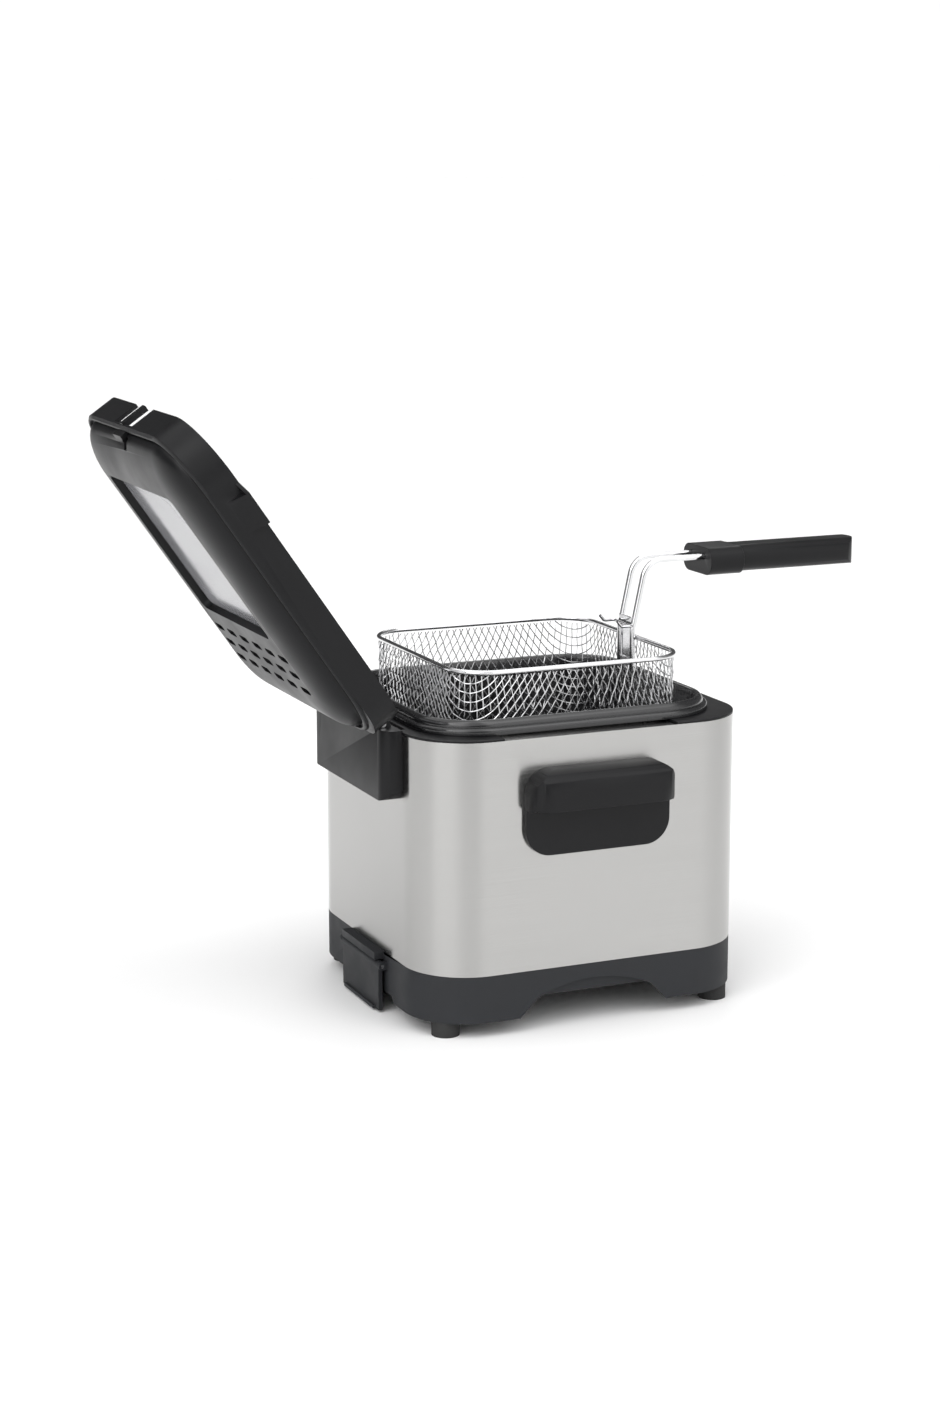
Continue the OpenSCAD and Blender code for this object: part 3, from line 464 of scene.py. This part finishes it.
def bent(corners, radius, steps):
    """Points along a wire that is bent to a radius at each inner corner."""
    points = [corners[0]]
    for before, corner, after in zip(corners, corners[1:], corners[2:]):
        first, last = (before - corner).normalized(), (after - corner).normalized()
        half = first.angle(last) / 2
        reach = min(radius / math.tan(half), 0.45 * min((before - corner).length, (after - corner).length))
        r = reach * math.tan(half)
        middle = corner + (first + last).normalized() * r / math.sin(half)
        start = (corner + first * reach - middle).normalized()
        end = (corner + last * reach - middle).normalized()
        for k in range(steps + 1):
            points.append(middle + start.slerp(end, k / steps) * r)
    points.append(corners[-1])
    return points


def outline(half, radius, segments):
    """Points round a rounded rectangle about the origin."""
    points = []
    for quarter in range(4):
        sx = 1 if quarter in (0, 3) else -1
        sy = 1 if quarter < 2 else -1
        for k in range(segments + 1):
            a = math.radians(90 * quarter + 90 * k / segments)
            points.append(Vector((
                sx * (half.x - radius) + radius * math.cos(a),
                sy * (half.y - radius) + radius * math.sin(a))))
    return points


def studio_world(stage):
    """A white studio to look at, lit by two tall soft panels with dim walls between them."""
    world = bpy.data.worlds.new("studio")
    world.use_nodes = True
    tree = world.node_tree
    panels = tree.nodes["Background"]
    coords = tree.nodes.new("ShaderNodeTexCoord")
    around = tree.nodes.new("ShaderNodeTexGradient")
    around.gradient_type = "RADIAL"
    tree.links.new(coords.outputs["Generated"], around.inputs["Vector"])
    ramp = tree.nodes.new("ShaderNodeValToRGB")
    # heading as a share of a turn, from -X by way of -Y, and how bright the studio is there
    stops = (
        (0.00, 0.20), (0.04, 1.00), (0.09, 1.00), (0.20, 0.20), (0.40, 0.05),
        (0.76, 0.05), (0.80, 1.00), (0.88, 1.00), (0.93, 0.05))
    band = ramp.color_ramp.elements
    for element, (place, level) in zip(band, stops):
        element.position = place
        element.color = (level, level, level, 1)
    for place, level in stops[2:]:
        band.new(place).color = (level, level, level, 1)
    tree.links.new(around.outputs["Fac"], ramp.inputs["Fac"])
    tree.links.new(ramp.outputs["Color"], panels.inputs["Color"])
    panels.inputs["Strength"].default_value = stage.panels
    white = tree.nodes.new("ShaderNodeBackground")
    white.inputs["Color"].default_value = (*stage.floor, 1)
    white.inputs["Strength"].default_value = stage.backdrop
    path = tree.nodes.new("ShaderNodeLightPath")
    mix = tree.nodes.new("ShaderNodeMixShader")
    tree.links.new(path.outputs["Is Camera Ray"], mix.inputs["Fac"])
    tree.links.new(panels.outputs["Background"], mix.inputs[1])
    tree.links.new(white.outputs["Background"], mix.inputs[2])
    tree.links.new(mix.outputs["Shader"], tree.nodes["World Output"].inputs["Surface"])
    return world


# ---------------------------------------------------------------- operators

class FRYER_OT_finishes(bpy.types.Operator):
    """Make the finishes from the fryer's colours"""

    bl_idname = "fryer.finishes"
    bl_label = "Finishes"

    def execute(self, context):
        FINISHES.update(make_finishes(context.scene.fryer_finish))
        return {"FINISHED"}


class FRYER_OT_stage(bpy.types.Operator):
    """Set up the camera, the lights and the floor"""

    bl_idname = "fryer.stage"
    bl_label = "Stage"

    def execute(self, context):
        stage = context.scene.fryer_stage
        scene = context.scene
        data = bpy.data.cameras.new("camera")
        data.lens = stage.lens
        data.sensor_width = 36
        camera = bpy.data.objects.new("camera", data)
        scene.collection.objects.link(camera)
        camera.location = stage.camera_at
        camera.rotation_euler = (math.pi / 2 - stage.pitch, 0, stage.heading)
        scene.camera = camera

        bm = bmesh.new()
        bmesh.ops.create_grid(bm, x_segments=8, y_segments=8, size=stage.floor_size)
        mesh = bpy.data.meshes.new("floor")
        bm.to_mesh(mesh)
        bm.free()
        floor = bpy.data.objects.new("floor", mesh)
        scene.collection.objects.link(floor)
        material, tree, shader = start_material("floor", stage.floor, roughness=0.6)
        cloud = noise(tree, 3.0, 2.0)
        tint(tree, cloud, shade(stage.floor, 0.99), stage.floor, shader.inputs["Base Color"])
        mesh.materials.append(material)

        scene.world = studio_world(stage)
        scene.view_settings.view_transform = "Standard"

        overhead = bpy.data.lights.new("overhead", "SUN")
        overhead.energy = stage.overhead
        overhead.angle = math.radians(110)
        lamp = bpy.data.objects.new("overhead", overhead)
        scene.collection.objects.link(lamp)
        lamp.rotation_euler = (math.radians(-18), math.radians(-12), 0)

        centre = Vector((0, 0, 0.14))
        for name, at, size, power in (
            ("key", (-0.6, 1.5, 1.3), 0.6, 2),
            ("back", (1.1, -0.5, 1.2), 0.7, 4),
        ):
            light = bpy.data.lights.new(name, "AREA")
            light.size = size
            light.energy = power
            lamp = bpy.data.objects.new(name, light)
            scene.collection.objects.link(lamp)
            lamp.location = at
            lamp.rotation_euler = (centre - Vector(at)).to_track_quat("-Z", "Y").to_euler()
        return {"FINISHED"}


class FRYER_OT_body(bpy.types.Operator):
    """Finish the steel wrapper, its deck caps and the plastic base"""

    bl_idname = "fryer.body"
    bl_label = "Body and base"

    def execute(self, context):
        softened("steel_shell", "steel_wrapper", 0.5 * MM)
        softened("front_cap", "front_deck_cap", 0.4 * MM)
        softened("rear_cap", "rear_deck_cap", 0.4 * MM)
        softened("base", "base_moulding", 0.6 * MM)
        softened("cord_flap", "cord_cover", 0.4 * MM)
        softened("hinge_bracket", "hinge_housing", 1.2 * MM, 3)
        finish_node(
            "bottom_plate", "front_left_foot", "front_right_foot", "rear_left_foot", "rear_right_foot",
            "foot_screws", "cord_box", "cord_gland", "flap_pin")
        return {"FINISHED"}


class FRYER_OT_inner_works(bpy.types.Operator):
    """Finish the heater, the thermostat and the other pieces inside the body"""

    bl_idname = "fryer.inner_works"
    bl_label = "Inner works"

    def execute(self, context):
        finish_node(
            "heating_element", "element_clamp", "clamp_stud", "heat_shield", "thermostat",
            "control_shaft", "thermal_cutout", "terminal_block", "bracket_screws", "handle_screws")
        return {"FINISHED"}


class FRYER_OT_controls(bpy.types.Operator):
    """Finish the control panel, its knob and its lamps"""

    bl_idname = "fryer.controls"
    bl_label = "Controls"

    def execute(self, context):
        softened("control_panel", "panel", 0.6 * MM)
        softened("knob", "temperature_knob", 0.7 * MM)
        finish_node("power_lens", "ready_lens")
        return {"FINISHED"}


class FRYER_OT_pot(bpy.types.Operator):
    """Finish the lift-out pot"""

    bl_idname = "fryer.pot"
    bl_label = "Pot"

    def execute(self, context):
        softened("pot", "fat_pot", 0.3 * MM)
        return {"FINISHED"}


class FRYER_OT_lid(bpy.types.Operator):
    """Finish the lid, its window, its filter and its hinge pins"""

    bl_idname = "fryer.lid"
    bl_label = "Lid"

    def execute(self, context):
        softened("lid_shell", "lid_moulding", 0.5 * MM)
        finish_node(
            "lid_liner", "lid_window", "window_gasket", "steam_filter", "filter_cover",
            "liner_screws", "left_hinge_pin", "right_hinge_pin")
        return {"FINISHED"}


class FRYER_OT_carry_handles(bpy.types.Operator):
    """Finish the two carry handles"""

    bl_idname = "fryer.carry_handles"
    bl_label = "Carry handles"

    def execute(self, context):
        softened("left_carry_handle", "left_handle", 1.5 * MM, 3)
        softened("right_carry_handle", "right_handle", 1.5 * MM, 3)
        return {"FINISHED"}


class FRYER_OT_basket(bpy.types.Operator):
    """Weave the basket and make its rim"""

    bl_idname = "fryer.basket"
    bl_label = "Basket"

    def execute(self, context):
        size = context.scene.fryer_basket
        low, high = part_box("basket_mesh")
        centre_y = (low.y + high.y) / 2
        half = Vector((high.x - size.wire_r, high.y - centre_y - size.wire_r))
        corner = size.corner_r - size.wire_r
        wall = high.z - low.z - size.fold_r
        fold = size.fold_r - size.wire_r
        bottom = low.z + size.wire_r

        def reach(p):
            """How many times p is as far out as the basket's outline in its direction."""
            x, y = abs(p.x), abs(p.y)
            best = max(x / half.x, y / half.y)
            cx, cy = half.x - corner, half.y - corner
            if best > 0 and x / best > cx and y / best > cy:
                a, b, c = x * x + y * y, x * cx + y * cy, cx * cx + cy * cy - corner * corner
                best = a / (b + math.sqrt(max(0.0, b * b - a * c)))
            return best

        reference = half.x
        flat = 1 - fold / reference
        turn = fold * math.pi / 2
        top = flat + (turn + wall) / reference

        def drawn(p, lift):
            """Where a point of the flat cloth lies in the pressed basket, lifted off its surface."""
            m = reach(p)
            if m <= flat:
                return Vector((p.x, centre_y + p.y, bottom + lift))
            edge = p / m
            out = edge.normalized()
            along = (min(m, top) - flat) * reference
            if along < turn:
                a = along / fold
                r = fold - lift
                inset = fold - r * math.sin(a)
                spot = edge - out * inset
                return Vector((spot.x, centre_y + spot.y, bottom + fold - r * math.cos(a)))
            spot = edge - out * lift
            return Vector((spot.x, centre_y + spot.y, bottom + fold + along - turn))

        pitch = size.cell / math.sqrt(2)
        wave = 0.9 * size.wire_r
        extent = top * (half.x + half.y) / math.sqrt(2)
        count = int(extent / pitch)
        runs = []
        steps = 4
        for side in (1, -1):
            across = Vector((1, side)) / math.sqrt(2)
            forward = Vector((-side, 1)) / math.sqrt(2)
            for k in range(-count, count + 1):
                offset = (k + 0.5) * pitch
                run = []
                for s in range(-count * steps, count * steps + 1):
                    place = s / steps
                    p = across * offset + forward * (place + 0.5) * pitch
                    if reach(p) > top:
                        if len(run) > 2:
                            runs.append(run)
                        run = []
                        continue
                    lift = side * wave * math.cos(math.pi * (place + k))
                    run.append(drawn(p, lift))
                if len(run) > 2:
                    runs.append(run)
        wires("woven_basket", "basket_mesh", runs, size.wire_r, sides=0)

        low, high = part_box("basket_rim")
        r = (high.z - low.z) / 2
        loop = [Vector((e.x, e.y + centre_y, (low.z + high.z) / 2)) for e in outline(
            Vector((high.x - r, (high.y - low.y) / 2 - r)), size.corner_r, 14)]
        wires("basket_rim_wire", "basket_rim", [loop], r, sides=4, closed=True)
        return {"FINISHED"}


class FRYER_OT_basket_handle(bpy.types.Operator):
    """Finish the basket's rods, grip and clip"""

    bl_idname = "fryer.basket_handle"
    bl_label = "Basket handle"

    def execute(self, context):
        size = context.scene.fryer_handle
        softened("handle_grip", "grip", size.grip_edge, 3)
        softened("handle_socket", "clip_plate", 0.3 * MM)
        for node, name in (("left_handle_rod", "left_rod"), ("right_handle_rod", "right_rod")):
            low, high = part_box(node)
            x = (low.x + high.x) / 2
            swell = (high.x - low.x) / 2
            start, top = high.y - swell, high.z - swell
            knee = low.z + size.clip_h
            turn = size.bend_r * math.tan(size.tilt / 2)
            lean = math.tan(size.tilt) * (top - knee - turn)
            corners = [
                Vector((x, start, low.z)), Vector((x, start, knee + turn)),
                Vector((x, start - lean, top)), Vector((x, low.y, top))]
            wires(name, node, [bent(corners, size.bend_r, 8)], size.rod_r, sides=4)

        low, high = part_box("drain_hook")
        r = size.hook_r
        swell = 1.3 * r
        y, z = low.y + swell, low.z + swell
        x = high.x - swell
        tip = high.y - r
        corners = [
            Vector((-x, tip, high.z - r)), Vector((-x, tip - size.hook_tip, z)), Vector((-x, y, z)),
            Vector((x, y, z)), Vector((x, tip - size.hook_tip, z)), Vector((x, tip, high.z - r))]
        wires("hook_wire", "drain_hook", [bent(corners, 2 * r, 5)], r, sides=3)
        return {"FINISHED"}


class FRYER_PT_panel(bpy.types.Panel):
    """The fryer's pieces in the sidebar"""

    bl_idname = "FRYER_PT_panel"
    bl_label = "Deep fryer"
    bl_space_type = "VIEW_3D"
    bl_region_type = "UI"
    bl_category = "Fryer"

    def draw(self, context):
        for group in GROUPS:
            settings = getattr(context.scene, group)
            for name in settings.bl_rna.properties.keys():
                if name not in ("rna_type", "name"):
                    self.layout.prop(settings, name)
        for operator in OPERATORS:
            self.layout.operator(operator.bl_idname)


GROUPS = {
    "fryer_finish": FryerFinish,
    "fryer_basket": FryerBasket,
    "fryer_handle": FryerHandle,
    "fryer_stage": FryerStage,
}
OPERATORS = (
    FRYER_OT_finishes,
    FRYER_OT_stage,
    FRYER_OT_body,
    FRYER_OT_inner_works,
    FRYER_OT_controls,
    FRYER_OT_pot,
    FRYER_OT_lid,
    FRYER_OT_carry_handles,
    FRYER_OT_basket,
    FRYER_OT_basket_handle,
)


def register():
    for cls in (*GROUPS.values(), *OPERATORS, FRYER_PT_panel):
        bpy.utils.register_class(cls)
    for name, cls in GROUPS.items():
        setattr(bpy.types.Scene, name, bpy.props.PointerProperty(type=cls))


def unregister():
    for name in GROUPS:
        delattr(bpy.types.Scene, name)
    for cls in reversed((*GROUPS.values(), *OPERATORS, FRYER_PT_panel)):
        bpy.utils.unregister_class(cls)


def main():
    register()
    for operator in OPERATORS:
        group, name = operator.bl_idname.split(".")
        getattr(getattr(bpy.ops, group), name)()


if __name__ == "__main__":
    main()
